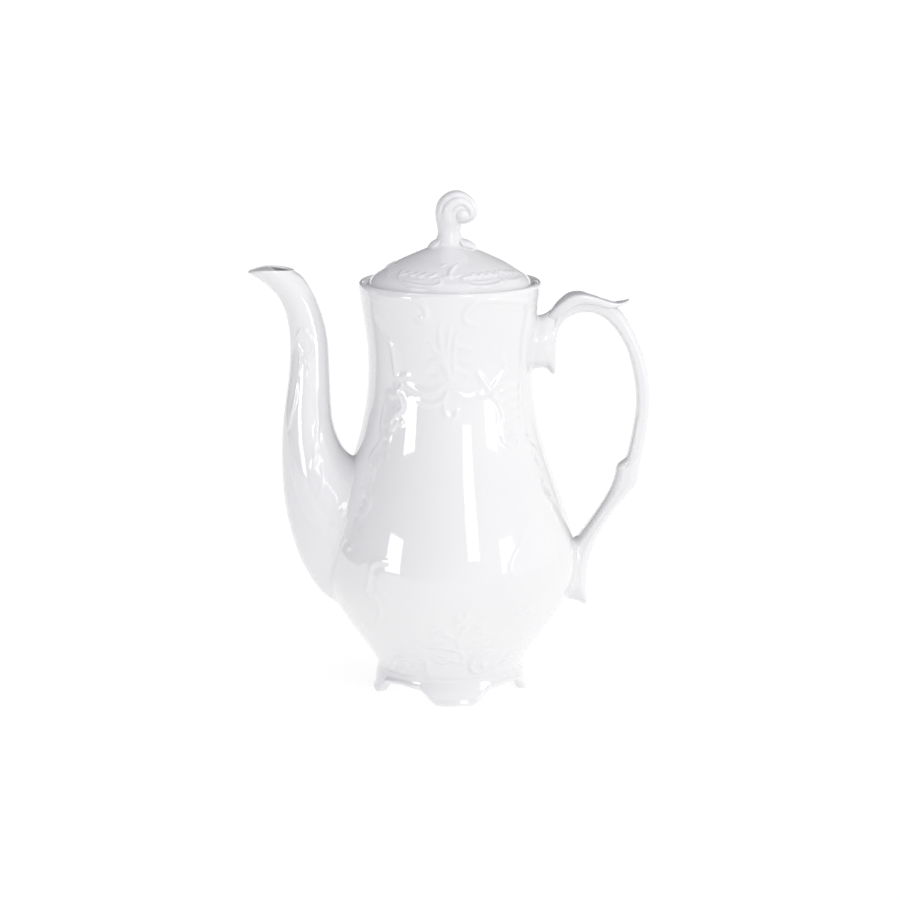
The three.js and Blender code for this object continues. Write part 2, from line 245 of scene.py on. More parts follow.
class TurnedField:
    """Distance to a surface of revolution, and the direction away from it."""

    def __init__(self, outline):
        self.outline = evenly(outline, 900)
        along = tangents(self.outline)
        self.normal = np.stack([along[:, 1], -along[:, 0]], axis=1)

    def __call__(self, points):
        r = np.hypot(points[:, 0], points[:, 1])
        near = np.empty(len(points), int)
        for start in range(0, len(points), 4000):
            part = slice(start, start + 4000)
            gap = (r[part, None] - self.outline[:, 0])**2 + (points[part, 2:] - self.outline[:, 1])**2
            near[part] = gap.argmin(axis=1)
        nr, nz = self.normal[near].T
        distance = (r - self.outline[near, 0]) * nr + (points[:, 2] - self.outline[near, 1]) * nz
        away = np.stack([nr * points[:, 0] / r, nr * points[:, 1] / r, nz], axis=1)
        return distance, away


class MeshField:
    """Distance to a closed mesh, and the direction away from it."""

    def __init__(self, verts, faces):
        if signed_volume(verts, faces) < 0:
            faces = [face[::-1] for face in faces]
        self.tree = BVHTree.FromPolygons([Vector(v) for v in verts], faces)

    def __call__(self, points):
        distance = np.empty(len(points))
        away = np.empty((len(points), 3))
        for i, point in enumerate(points):
            where, normal, _, gap = self.tree.find_nearest(Vector(point))
            offset = np.array(point) - np.array(where)
            side = 1.0 if offset @ np.array(normal) >= 0 else -1.0
            distance[i] = side * gap
            away[i] = offset * side / gap if gap > 1e-3 else np.array(normal)
        return distance, away


def settle(points, wall, tool, reach):
    """Moves points onto the surface where wall and tool run into each other with a fillet."""
    points = points.copy()
    for _ in range(5):
        d_wall, g_wall = wall(points)
        d_tool, g_tool = tool(points)
        share = np.clip(0.5 + 0.5 * (d_wall - d_tool) / reach, 0.0, 1.0)
        gap = d_wall * (1 - share) + d_tool * share - reach * share * (1 - share) - LIFT * (1 - share)
        slope = g_wall * (1 - share)[:, None] + g_tool * share[:, None]
        size = np.maximum(np.einsum("ij,ij->i", slope, slope), 0.15)
        points -= np.clip(gap / size, -1.5, 1.5)[:, None] * slope
    return points


def crossing(depths, rising):
    """For each column, the row (with its fraction) where depths changes sign."""
    rows = np.empty(depths.shape[1])
    for c in range(depths.shape[1]):
        inside = depths[:, c] < 0
        i = int(np.argmax(inside) if not rising else len(inside) - 1 - np.argmax(inside[::-1]))
        j = i - 1 if not rising else i + 1
        a, b = depths[j, c], depths[i, c]
        rows[c] = j + (i - j) * a / (a - b)
    return rows


def sample(sections, rows):
    """Sections read at fractional rows, one row number per column."""
    low = np.clip(np.floor(rows).astype(int), 0, len(sections) - 2)
    part = (rows - low)[..., None]
    cols = np.arange(sections.shape[1])
    return sections[low, cols] * (1 - part) + sections[low + 1, cols] * part


def skirt(edge, wall, tool, reach, rows):
    """Rows that run out over the wall from the edge until the fillet has died out."""
    out, at = [], edge.copy()
    for _ in range(rows):
        _, g_wall = wall(at)
        _, g_tool = tool(at)
        flat = g_tool - np.einsum("ij,ij->i", g_tool, g_wall)[:, None] * g_wall
        size = np.maximum(np.linalg.norm(flat, axis=1), 0.35)
        at = at + flat / (size**2)[:, None] * (1.05 * reach / rows)
        at = at - wall(at)[0][:, None] * g_wall
        out.append(at.copy())
    return np.array(out)


def sunk(points, wall, depth):
    """Points moved along the wall's own direction to lie depth beneath its surface."""
    distance, away = wall(points)
    return points - (distance + depth)[:, None] * away


def fuse(sections, wall, reach, rows, skirt_rows=9, start_too=False):
    """The rows of a tube that ends inside the wall, trimmed to it and ended by a fillet.

    With start_too its first row lies inside the wall as well, and is treated the same.
    """
    tool = MeshField(*skin(sections))
    shape = sections.shape
    depths = wall(sections.reshape(-1, 3))[0].reshape(shape[:2])
    end = crossing(depths[shape[0] // 2:] if start_too else depths, rising=False)
    if start_too:
        end = end + shape[0] // 2
        start = crossing(depths[:shape[0] // 2], rising=True)
    else:
        start = np.zeros(shape[1])
    s = np.linspace(0.0, 1.0, rows)
    s = 0.5 * (s + (ease(s) if start_too else 1 - (1 - s)**2))
    kept = sample(sections, start + (end - start) * s[:, None])
    pieces = [kept, skirt(kept[-1], wall, tool, reach, skirt_rows)]
    if start_too:
        pieces.insert(0, skirt(kept[0], wall, tool, reach, skirt_rows)[::-1])
    out = np.vstack(pieces)
    flat = out.reshape(-1, 3)
    near = wall(flat)[0] < 1.3 * reach
    flat[near] = settle(flat[near], wall, tool, reach)
    return flat.reshape(out.shape)


def under_cap(ring, wall, rows=5):
    """Rows that close a fused end inside the wall."""
    first = sunk(ring, wall, SINK * 0.4)
    middle = first.mean(axis=0)
    out = [first]
    for k in range(1, rows):
        out.append(sunk(first + (middle - first) * (k / rows), wall, SINK))
    return np.array(out)


def rib_sections(ribs, rows, around, shape):
    """Oval sections between two edges in the plane y = 0.

    Each rib is x, z of one edge, x, z of the other edge, and the half-width across.
    shape(phi, t) gives the section's two multipliers; phi is 0 at the other edge.
    """
    track = smooth(ribs, rows)
    phi = full_turn(around)
    t = np.linspace(0.0, 1.0, rows)[:, None]
    c, s = shape(phi[None, :], t)
    middle = (track[:, [0, 1]] + track[:, [2, 3]]) / 2
    half = (track[:, [2, 3]] - track[:, [0, 1]]) / 2
    x = middle[:, :1] + c * half[:, :1]
    z = middle[:, 1:] + c * half[:, 1:]
    y = s * track[:, 4:] + 0 * x
    return np.stack([x + 0 * y, y, z + 0 * y], axis=-1)


# ---- Relief: strokes of raised clay on a surface ----------------------------------

class Relief:
    """Heights over a grid of (angle, z) surface points, raised stroke by stroke."""

    def __init__(self, outline, angles):
        self.angle = np.radians(angles)[None, :]
        self.radius = outline[:, :1]
        run = np.concatenate([[0.0], np.cumsum(np.linalg.norm(np.diff(outline, axis=0), axis=1))])
        self.run = run[:, None]
        rising = outline[-1, 1] > outline[0, 1]
        order = slice(None) if rising else slice(None, None, -1)
        self.z, self.z_run = outline[order, 1], run[order]
        self.height = np.zeros((len(outline), len(angles)))

    def stroke(self, points, width, height, head=0.35, tail=0.35, mirrored=True):
        """A soft ridge along a curve of (degrees, z), thinning towards both ends.

        head and tail are the shares of its width left at its start and at its end.
        """
        line = np.array(points, float)
        if len(line) > 2:
            line = smooth(line, 12 * len(line))
        else:
            line = evenly(line, 14)
        t = np.linspace(0.0, 1.0, len(line))
        swell = np.sin(math.pi * np.clip(t, 0, 1))**0.6
        ends = head + (tail - head) * t
        size = width * (ends + (1 - ends) * swell)
        tall = height * (0.45 + 0.55 * size / width)
        self._raise(line, size, tall)
        if mirrored:
            self._raise(line * [-1, 1] + [180, 0], size, tall)

    def strokes(self, *lines):
        """Several strokes in turn, each given as stroke takes it."""
        for line in lines:
            self.stroke(*line)

    def _raise(self, line, size, tall):
        """Raises one stroke; where two cross, the higher one wins and keeps a trace of the other."""
        angle = np.radians(line[:, 0])
        run = np.interp(line[:, 1], self.z, self.z_run)
        reach = size.max() + 0.5
        radius = np.interp(run, self.run[:, 0], self.radius[:, 0])
        near = (self.run[:, 0] > run.min() - reach) & (self.run[:, 0] < run.max() + reach)
        rows = np.where(near)[0]
        if not len(rows):
            return
        middle = (angle.min() + angle.max()) / 2
        swing = (self.angle[0] - middle + math.pi) % (2 * math.pi) - math.pi
        margin = (angle.max() - angle.min()) / 2 + reach / radius.min()
        cols = np.where(np.abs(swing) < margin)[0]
        if not len(cols):
            return
        local = self.radius[rows]
        best = np.zeros((len(rows), len(cols)))
        for a, s, w, h in zip(angle - middle, run, size, tall):
            gap = np.hypot((swing[cols][None, :] - a) * local, self.run[rows] - s) / w
            rise = h * bump(gap)
            np.maximum(best, rise, out=best)
        block = np.ix_(rows, cols)
        old = self.height[block]
        self.height[block] = np.maximum(old, best) + 0.25 * np.minimum(old, best)

    def ladder(self, path, rung, count, width=0.8, height=0.45):
        """Rocaille: short rungs across a path, shorter towards its ends, like a shell's flutes."""
        line = evenly(smooth(path, 60), count)
        for k, (at, way) in enumerate(zip(line, tangents(line))):
            reach = rung * (0.45 + 0.55 * math.sin(math.pi * (k + 0.7) / (count + 0.4)))
            side = np.array([way[1], -way[0]])
            self.stroke([at, at + side * reach * 0.6 + way * 0.5, at + side * reach - way * 0.4],
                        width, height, head=0.4, tail=0.8)

    def flower(self, centre, reach, width, height, petals=5):
        """Short petals round a raised middle."""
        centre = np.array(centre, float)
        for k in range(petals):
            turn = 2 * math.pi * (k + 0.25) / petals
            way = np.array([math.sin(turn), math.cos(turn)])
            self.stroke([centre + way * reach * 0.35, centre + way * reach], width, height, 0.6, 0.9)
        self.stroke([centre, centre + [0.1, 0.1]], width * 0.8, height * 0.9, 1.0, 1.0)

    def soften(self):
        """Blunts the strokes as glaze does, by one pass of averaging with the neighbours."""
        h = self.height
        around = (np.roll(h, 1, axis=1) + np.roll(h, -1, axis=1) + 2 * h) / 4
        self.height[1:-1] = (around[:-2] + around[2:] + 2 * around[1:-1]) / 4


# ---- Porcelain ------------------------------------------------------------------

def tune(node, settings):
    """Sets a node's unlinked inputs by name."""
    for name, value in settings.items():
        node.inputs[name].default_value = value


def colour_ramp(nodes, start, end):
    """A ramp between two colours, each given as its position and its colour."""
    ramp = nodes.new("ShaderNodeValToRGB")
    for stop, (position, colour) in zip(ramp.color_ramp.elements, (start, end)):
        stop.position = position
        stop.color = (*colour, 1)
    return ramp


def porcelain(name, white, cool, seed, gloss_coat=1.0):
    """White body under a clear gloss glaze, with the slight pooling and ripple of a real one."""
    material = bpy.data.materials.new(name)
    material.use_nodes = True
    nodes, links = material.node_tree.nodes, material.node_tree.links
    shader = nodes["Principled BSDF"]
    place = nodes.new("ShaderNodeTexCoord")

    def noise(scale, detail):
        node = nodes.new("ShaderNodeTexNoise")
        node.noise_dimensions = "4D"
        tune(node, {"W": seed, "Scale": scale, "Detail": detail})
        links.new(place.outputs["Object"], node.inputs["Vector"])
        return node.outputs["Fac"]

    tone = colour_ramp(nodes, (0.3, cool), (0.7, white))
    links.new(noise(14, 3), tone.inputs["Fac"])
    links.new(tone.outputs["Color"], shader.inputs["Base Color"])

    gloss = nodes.new("ShaderNodeMapRange")
    tune(gloss, {"To Min": 0.035, "To Max": 0.085})
    links.new(noise(60, 2), gloss.inputs["Value"])
    links.new(gloss.outputs["Result"], shader.inputs["Roughness"])

    ripple = nodes.new("ShaderNodeBump")
    tune(ripple, {"Strength": 0.25, "Distance": 0.00012})
    links.new(noise(160, 1), ripple.inputs["Height"])
    links.new(ripple.outputs["Normal"], shader.inputs["Normal"])

    tune(shader, {
        "IOR": 1.53, "Coat Weight": gloss_coat, "Coat IOR": 1.5, "Coat Roughness": 0.02,
        "Subsurface Weight": 0.12, "Subsurface Radius": (0.004, 0.0035, 0.003), "Subsurface Scale": 0.5,
    })
    return material


pot_glaze = porcelain("pot_glaze", (0.765, 0.765, 0.765), (0.74, 0.74, 0.755), 1.0)
lid_glaze = porcelain("lid_glaze", (0.79, 0.79, 0.79), (0.76, 0.76, 0.775), 4.0, gloss_coat=0.3)
# The spout's bore glaze is a darker grey: painted shade for the dark inside of the deep tube.
bore_painted_shade = porcelain("bore_painted_shade", (0.40, 0.40, 0.41), (0.34, 0.34, 0.36), 7.0)


# ---- Vessel ---------------------------------------------------------------------

def silhouette(count):
    """The outside from the ankle to the rim: three curves that share their tangents."""
    bowl, shoulder, neck = BELLY_Z - ANKLE_Z, WAIST_Z - BELLY_Z, RIM_Z - WAIST_Z
    parts = [
        bezier((ANKLE_R, ANKLE_Z), (ANKLE_R, ANKLE_Z + 0.15 * bowl),
               (BELLY_R, BELLY_Z - 0.38 * bowl), (BELLY_R, BELLY_Z), 90),
        bezier((BELLY_R, BELLY_Z), (BELLY_R, BELLY_Z + 0.31 * shoulder),
               (WAIST_R, WAIST_Z - 0.43 * shoulder), (WAIST_R, WAIST_Z), 140)[1:],
        bezier((WAIST_R, WAIST_Z), (WAIST_R, WAIST_Z + 0.32 * neck),
               (RIM_R - 0.92 * (RIM_R - WAIST_R), RIM_Z - 0.69 * neck), (RIM_R, RIM_Z), 70)[1:],
    ]
    return evenly(np.vstack(parts), count)


OUTSIDE = silhouette(600)
vessel_field = TurnedField(OUTSIDE)


def inner_wall(count):
    """The inside of the wall from the floor up to the slope under the ledge."""
    floor_z, slope_z = ANKLE_Z + FLOOR, RIM_Z - SEAT_DEPTH - LEDGE - 4
    along = tangents(OUTSIDE)
    inside = OUTSIDE + WALL * np.stack([-along[:, 1], along[:, 0]], axis=1)
    keep = inside[(inside[:, 1] > floor_z + 1.5) & (inside[:, 1] < slope_z)]
    corner = keep[0] + [-1.5, -1.5]
    return evenly(np.vstack([[corner], keep]), count)


# The raised work, stroke by stroke. Its points are degrees from the front, and height.

def rim_scrolls(relief):
    """Two long C-scrolls that hang under the rim and turn in, each with an echo inside it."""
    relief.strokes(
        ([(-74, 208), (-57, 211), (-45, 210.5), (-34, 211), (-25, 210), (-20.5, 207), (-19.5, 203),
          (-22.5, 200), (-26, 201)], 2.0, 1.05, 0.3, 0.8),
        ([(-68, 205.5), (-57, 206.8), (-43, 208), (-32, 208), (-27, 206), (-24.5, 203)], 1.0, 0.5),
        ([(70, 204), (52, 206.5), (34, 209), (20, 210.3), (12, 209.3), (7, 206.3), (4.5, 202.5),
          (7, 198.7), (12, 198)], 2.0, 1.05, 0.3, 0.8),
        ([(58, 203), (40, 205), (25, 206.3), (16, 205.8), (11, 203.5), (9, 201)], 1.0, 0.5),
    )


def plume(relief):
    """Strands that fan out from one stem in the middle."""
    for strand in (
        [(-4, 168), (-5.5, 176), (-6, 186), (-4, 199)],
        [(-5, 170), (-9, 182), (-11, 192), (-10.5, 200)],
        [(-6, 176), (-12, 183), (-18, 187.5), (-25, 186)],
        [(-5, 172), (-12, 179), (-21, 178)],
        [(-5, 168), (-11, 171), (-17, 170.5)],
        [(-3, 178), (-0.5, 187), (5, 186.5), (12, 184.5)],
        [(-3, 173), (0.5, 180.5), (7, 179), (13, 180)],
        [(-3, 169), (0, 174), (8, 172.5)],
        [(-2, 186), (0, 193), (6, 196)],
    ):
        relief.stroke(strand, 1.6, 0.8, head=0.85, tail=0.35)


def swag(relief):
    """Crescents that hang under the plume, and the open drop below them."""
    relief.strokes(
        ([(-38, 168), (-26, 164), (-15, 164.3), (-7, 168)], 1.5, 0.75),
        ([(-29, 164), (-19, 161.3), (-9, 163)], 1.3, 0.65),
        ([(-27, 159.5), (-17, 157.3), (-10, 159.7), (-5.5, 165)], 1.7, 0.95),
        ([(-6.5, 163), (-8.5, 157.5), (-6, 151.5), (-2, 150.5), (0.5, 154)], 1.6, 0.9, 0.5, 0.9),
        ([(-5, 160), (-5.5, 156)], 0.9, 0.4),
        ([(-3, 165), (6, 161), (14, 162), (19, 166)], 1.4, 0.75),
        ([(-2, 169), (6, 166), (13, 167)], 1.1, 0.5),
    )


def left_column(relief):
    """A broken rocaille that runs down to the spout's shoulder, with short chips beside it."""
    relief.stroke([(-62, 201), (-57, 195), (-53, 190), (-47.5, 185.5), (-46, 178.5), (-43.5, 170),
                   (-38, 170.5), (-31, 171)], 1.8, 1.1, head=0.4, tail=0.3)
    relief.ladder([(-50, 186), (-50, 178), (-48, 170)], -9, 7, 1.0, 0.6)
    relief.stroke([(-46, 166), (-43, 162), (-39, 158), (-38, 154.5), (-43, 151), (-47, 147),
                   (-46, 143)], 2.1, 1.25)
    relief.ladder([(-46, 163), (-45, 156), (-50, 148), (-50, 140)], -9, 9, 1.1, 0.75)
    relief.strokes(
        ([(-43, 149), (-39, 146.5), (-36, 149.5)], 1.2, 0.8),
        ([(-54, 158), (-55.5, 148), (-54, 141), (-46, 138), (-48.5, 134)], 1.3, 0.8),
        ([(-52, 140), (-56, 133), (-60, 127.5), (-55, 123), (-53.5, 118), (-60, 115.5)], 1.5, 1.0),
    )
    relief.ladder([(-55, 134), (-59, 127), (-60, 119)], -8, 6, 1.0, 0.7)
    relief.strokes(
        ([(-62, 112), (-56, 110.5), (-51.5, 108), (-51.5, 103), (-56, 98.5), (-60, 99)], 1.5, 0.95),
        ([(-60, 97), (-61, 91), (-64, 86), (-67, 81)], 1.4, 0.8),
    )
    relief.ladder([(-57, 106), (-60, 97), (-63, 88)], -6, 5, 0.9, 0.6)
    chips = ((-41, 165, 60), (-49, 160, -30), (-45, 153, 80), (-52, 145, 20), (-47, 130, -50),
             (-55, 113, 70), (-52, 93, -20), (-58, 84, 50))
    for angle, z, turn in chips:
        middle = np.array([angle, z])
        way = np.array([math.cos(math.radians(turn)) * 2.6, math.sin(math.radians(turn)) * 2.2])
        relief.stroke([middle - way, middle + [1.0, 0.4], middle + way], 1.1, 0.8)


def right_column(relief):
    """A crossed ribbon over a fluted shell that ends in a curl."""
    relief.strokes(
        ([(14, 174), (19, 168.5), (25, 163), (30, 157)], 1.7, 1.0),
        ([(38, 174), (30, 168), (24, 163.5), (17, 161.8), (11, 163)], 1.7, 1.0),
        ([(33, 184), (36, 178), (34, 172)], 1.3, 0.7),
        ([(28, 161), (32, 154), (33.5, 149), (31, 143.5), (31.5, 138.5), (36, 135.5), (41, 137),
          (39.5, 140)], 2.0, 1.2),
    )
    for step in range(6):
        z = 163.5 - 5.0 * step
        relief.stroke([(34, z - 1), (41, z + 0.8), (51 - step, z - 0.6)], 1.4, 0.8, head=0.9, tail=0.3)
    relief.strokes(
        ([(56, 178), (55, 165), (53, 150), (55, 140)], 1.2, 0.6),
        ([(50, 138), (56, 133), (60, 130), (62, 124.5), (56, 120), (54, 114), (56, 107),
          (62, 103)], 1.8, 1.1),
    )
    relief.ladder([(57, 133), (62, 124), (60, 112)], 7, 7, 1.1, 0.7)


def low_scrolls(relief):
    """A tall broken scroll low on the left, and a lighter one on the right."""
    relief.strokes(
        ([(-34, 80), (-39, 79.6), (-42.5, 77), (-43, 71), (-44, 63.5), (-39.5, 59), (-39, 52.5),
          (-43, 47)], 1.7, 1.15, 0.5, 0.4),
        ([(-48, 77.5), (-43, 78)], 1.1, 0.7),
        ([(-40, 74), (-38, 68), (-40, 62)], 1.0, 0.6),
        ([(-37, 66), (-34.5, 61)], 1.4, 0.6),
        ([(40, 99), (34, 95), (31.5, 89), (27.5, 84), (24, 77), (26, 73), (30, 73.5)], 1.4, 0.8),
        ([(30, 85), (35, 87), (38, 84)], 1.2, 0.6),
        ([(26, 57), (30, 52.5), (35, 53.5), (34, 57)], 1.6, 0.85),
    )


def ground_spray(relief):
    """A stem with two blooms over the front foot, long leaves, and scrolls on the ground."""
    relief.stroke([(6, 20), (3.5, 29), (0.5, 37), (1.5, 46)], 1.5, 1.08)
    relief.flower((2, 50.5), 4.3, width=1.6, height=1.25)
    relief.flower((11, 45.5), 2.9, width=1.3, height=1.05)
    relief.strokes(
        ([(3, 38), (7, 41), (10, 44)], 1.0, 0.74),
        ([(0.5, 38), (-4, 41.5), (-8, 43), (-15, 41)], 1.7, 1.28),
        ([(-4, 43), (-10, 46), (-16, 44)], 1.3, 1.01),
        ([(2, 31), (-5, 34), (-13, 35), (-21, 35)], 2.0, 1.49),
        ([(2, 27), (-3, 29.5), (-9, 29), (-16, 31)], 1.5, 1.15),
        ([(3, 24), (-5, 26.5), (-10, 24.5), (-16, 27.5)], 1.5, 1.08),
        ([(5, 31), (10, 35), (17, 36.5)], 1.4, 1.01),
        ([(-28, 20.5), (-35, 25), (-46, 22.5), (-51, 17.5), (-43, 16.8), (-39, 20)], 1.7, 1.35),
        ([(-32, 26), (-25, 27), (-19.5, 24), (-22, 18.5), (-17, 16)], 1.6, 1.28),
        ([(26, 31), (17, 30), (11.5, 26.5), (10.5, 21.5), (15.5, 17.8), (21, 19.5), (19, 23)], 1.8, 1.42),
        ([(21, 18), (30, 21), (40, 24.5), (47, 26)], 1.5, 1.15),
        ([(34, 24), (38, 28), (44, 29.5)], 1.1, 0.81),
    )


def vessel_outside(angles):
    """The outer face with its raised work, from the ankle to just under the rim."""
    outline = evenly(OUTSIDE[OUTSIDE[:, 1] < RIM_Z - RIM_ROUND], 205)
    relief = Relief(outline, angles)
    for raised_work in (rim_scrolls, plume, swag, left_column, right_column, low_scrolls, ground_spray):
        raised_work(relief)
    relief.soften()
    rings = turned_rings(outline, angles) + relief.height[..., None] * outward(outline, angles)
    rings[0, :, 2] += 0.3  # stands clear of the tight ring under it
    return rings


def vessel_inside(angles):
    """Over the lip and the ledge that the lid rests on, down the wall and across the floor."""
    seat_z = RIM_Z - SEAT_DEPTH
    lip = arc((RIM_R - 0.3 - RIM_ROUND, RIM_Z - RIM_ROUND), RIM_ROUND, 20, 165, 8)
    seat = np.array([[MOUTH_R, RIM_Z - 1.2], [MOUTH_R, seat_z + 0.5], [MOUTH_R - 0.5, seat_z],
                     [SEAT_R + 0.4, seat_z], [SEAT_R, seat_z - 0.4], [SEAT_R, seat_z - LEDGE]])
    wall = inner_wall(26)[::-1]
    floor = np.array([[wall[-1, 0] - 6, ANKLE_Z + FLOOR], [12, ANKLE_Z + FLOOR]])
    rings = turned_rings(np.vstack([lip, seat, wall, floor]), angles)

    # The notch in the ledge, on the spout's side, lets the lid's tab through.
    x, y, z = np.moveaxis(rings, -1, 0)
    r = np.hypot(x, y)
    notch = (x < 0) & (np.abs(y) < NOTCH_HALF) & (z > seat_z - LEDGE - 5)
    notch &= (r < NOTCH_R) & (r > SEAT_R - 0.6)
    rings[notch, :2] *= (NOTCH_R / r[notch])[:, None]
    return rings


def build_vessel():
    angles = np.linspace(0, 360, COLUMNS, endpoint=False)
    # The last two rings lie close together, so the shading stays clean where the foot ring joins.
    under = turned_rings(np.array([[12.0, ANKLE_Z], [ANKLE_R - 2.0, ANKLE_Z], [ANKLE_R - 0.02, ANKLE_Z],
                                   [ANKLE_R, ANKLE_Z + 0.02]]), angles)
    shape = skin(np.concatenate([under, vessel_outside(angles), vessel_inside(angles)]))
    vessel = add_piece("vessel", shape, "pot", "pot_body")

    # The strainer: one hole with six round it, through the wall behind the spout.
    offsets = [(0.0, 0.0)]
    for k in np.radians(np.arange(30, 390, 60)):
        offsets.append((HOLE_PITCH * math.cos(k), HOLE_PITCH * math.sin(k)))
    centres = []
    for y, up in offsets:
        wall_r = float(np.interp(HOLE_Z + up, OUTSIDE[:, 1], OUTSIDE[:, 0]))
        centres.append((2 - wall_r, y, HOLE_Z + up))
    cut_holes(vessel, centres, (1, 0, 0), HOLE_D, HOLE_LENGTH)


# ---- Foot ring ------------------------------------------------------------------

FOOT_PROFILE = smooth([(39.9, 0.0), (39.8, 3.5), (39.35, 6.8), (38.6, 9.8), (38.0, 12),
                       (ANKLE_R, ANKLE_Z)], 60)


def foot_section(degrees):
    """The ring cut at one angle: down its outside, round its lower edge and up its inside."""
    from_foot = abs((degrees + 45) % 90 - 45)
    arch = ease((from_foot - 12) / 18)
    ridge = 0.9 * math.exp(-((from_foot - 45) / 9)**2)
    low = ARCH_HEIGHT * arch * 0.9 + ridge

    outer_z = np.concatenate([[ANKLE_Z - 0.02], np.linspace(ANKLE_Z - 0.3, low + 1.2, 22)])
    outer_r = np.interp(outer_z, FOOT_PROFILE[:, 1], FOOT_PROFILE[:, 0])
    flare = 0.9 * ease((4 - low) / 4) * np.clip((5 - outer_z) / 5, 0, 1)**2
    bead = 0.4 * np.exp(-((outer_z - low - 1.6) / 0.9)**2) * ease((ANKLE_Z - outer_z) / 3)
    outer_r = outer_r - 0.5 * ease((ANKLE_Z - outer_z) / 9) + flare + bead

    edge = outer_r[-1]
    inner_edge = edge - FOOT_WALL
    rounding = arc((edge - 1.2, low + 1.2), 1.2, 0, -90, 7)[1:]
    inner_round = arc((inner_edge + 1.0, low + 1.0), 1.0, -90, -180, 6)
    inner = np.stack([np.linspace(inner_edge, ANKLE_R - FOOT_WALL - 0.4, 8)[1:],
                      np.linspace(low + 1.0, ANKLE_Z - 0.6, 8)[1:]], axis=1)
    top = np.array([[ANKLE_R - FOOT_WALL, ANKLE_Z + 0.6], [ANKLE_R - 2.0, ANKLE_Z + 1.2],
                    [ANKLE_R - 0.02, ANKLE_Z + 0.02]])
    path = np.vstack([np.stack([outer_r, outer_z], axis=1), rounding, inner_round, inner, top])
    a = math.radians(degrees)
    return np.stack([path[:, 0] * math.sin(a), -path[:, 0] * math.cos(a), path[:, 1]], axis=1)


def build_foot():
    """Four feet with an ogee arch between each two, and a fine bead along the lower edge."""
    sections = [foot_section(degrees) for degrees in np.linspace(0, 360, 480, endpoint=False)]
    add_piece("foot_ring", ring_of_sections(np.array(sections)), "pot", "foot_skirt")


# ---- Spout ----------------------------------------------------------------------

# Each rib of spout, handle and scroll is x, z of one edge, x, z of the other, and half its width.
SPOUT_RIBS = [
    (-48, 40, -36, 117, 24), (-66, 51.7, -48.6, 122.6, 23.8), (-74.6, 64, -54.2, 127.6, 22.8),
    (-80, 77, -57.4, 133.6, 21.2), (-85, 98, -60, 142, 18.3), (-86.6, 121, -61, 151, 15.2),
    (-85.7, 143, -61.5, 162, 12.8), (-82.6, 166.5, -61.9, 173, 10.9), (-81.9, 186.5, -62.9, 187, 9.7),
    (-85.3, 202.5, -67.4, 203.4, 9.1), (-92.6, 212.3, -74, 215.6, 9.5),
    (-102.7, 219.3, -79.4, 220.4, 10.2),
]


# The raised work on its flanks: points as degrees round from the middle and height, width, rise.
SPOUT_STROKES = (
    ([(-42, 186), (-20, 191), (0, 189), (8, 183), (-2, 178), (-12, 181)], 1.5, 0.6),
    ([(-38, 184), (-30, 176), (-34, 168)], 1.3, 0.5),
    ([(-12, 176), (-2, 171), (-8, 165)], 1.2, 0.45),
    ([(-38, 164), (-36, 156), (-42, 148), (-46, 141)], 1.6, 0.7),
    ([(-46, 138), (-42, 124), (-38, 110), (-30, 100)], 1.5, 0.6),
    ([(22, 160), (26, 146), (20, 134), (26, 124)], 1.5, 0.55),
    ([(8, 140), (14, 130), (6, 122), (14, 115), (6, 108)], 1.5, 0.6),
    ([(30, 128), (20, 118), (24, 108), (14, 101)], 1.2, 0.45),
    ([(36, 104), (16, 98), (0, 90), (-10, 80), (-14, 66)], 1.7, 0.6),
    ([(-34, 100), (-22, 93), (-8, 88), (0, 84)], 1.6, 0.55),
    ([(0, 84), (4, 74), (0, 62)], 1.4, 0.45),
)


def spout_section(phi, t):
    """An oval that narrows to a beak at the mouth. t runs from the mouth to the root."""
    c, s = np.cos(phi), np.sin(phi)
    beak = ease((1 - t - 0.86) / 0.14)
    return c, s * (1 - 0.16 * beak * np.maximum(-c, 0)**2) * (1 + 0.02 * np.cos(4 * phi))


def spout_relief(points, phi):
    """Heights of the raised work on the spout, the same on both of its flanks."""
    z = points[..., 2]
    side = np.degrees(np.arcsin(np.clip(np.cos(phi), -1, 1)))[None, :] + 0 * z
    height = np.zeros_like(z)
    for line, width, tall in SPOUT_STROKES:
        line = smooth(line, 10 * len(line))
        swell = np.sin(math.pi * np.linspace(0.04, 0.96, len(line)))**0.6
        for (a, h), w in zip(line, swell):
            gap = np.hypot((side - a) * 0.2, z - h) / (width * (0.4 + 0.6 * w))
            height = np.maximum(height, tall * w * bump(gap))
    return height


def spout_channel(plain, normals, t):
    """The bore: the outer shape moved in by the wall, down to where it ends in the vessel's wall."""
    wall = 1.3 + 1.5 * ease((1 - t) * 3)
    hollow = plain - normals * wall[..., None]
    hollow[0] += [0, 0, 0.25]
    depth = vessel_field(hollow.reshape(-1, 3))[0].reshape(hollow.shape[:2]) + SINK
    end = crossing(depth, rising=False)
    return sample(hollow, end * np.linspace(0.004, 1, 60)[:, None])


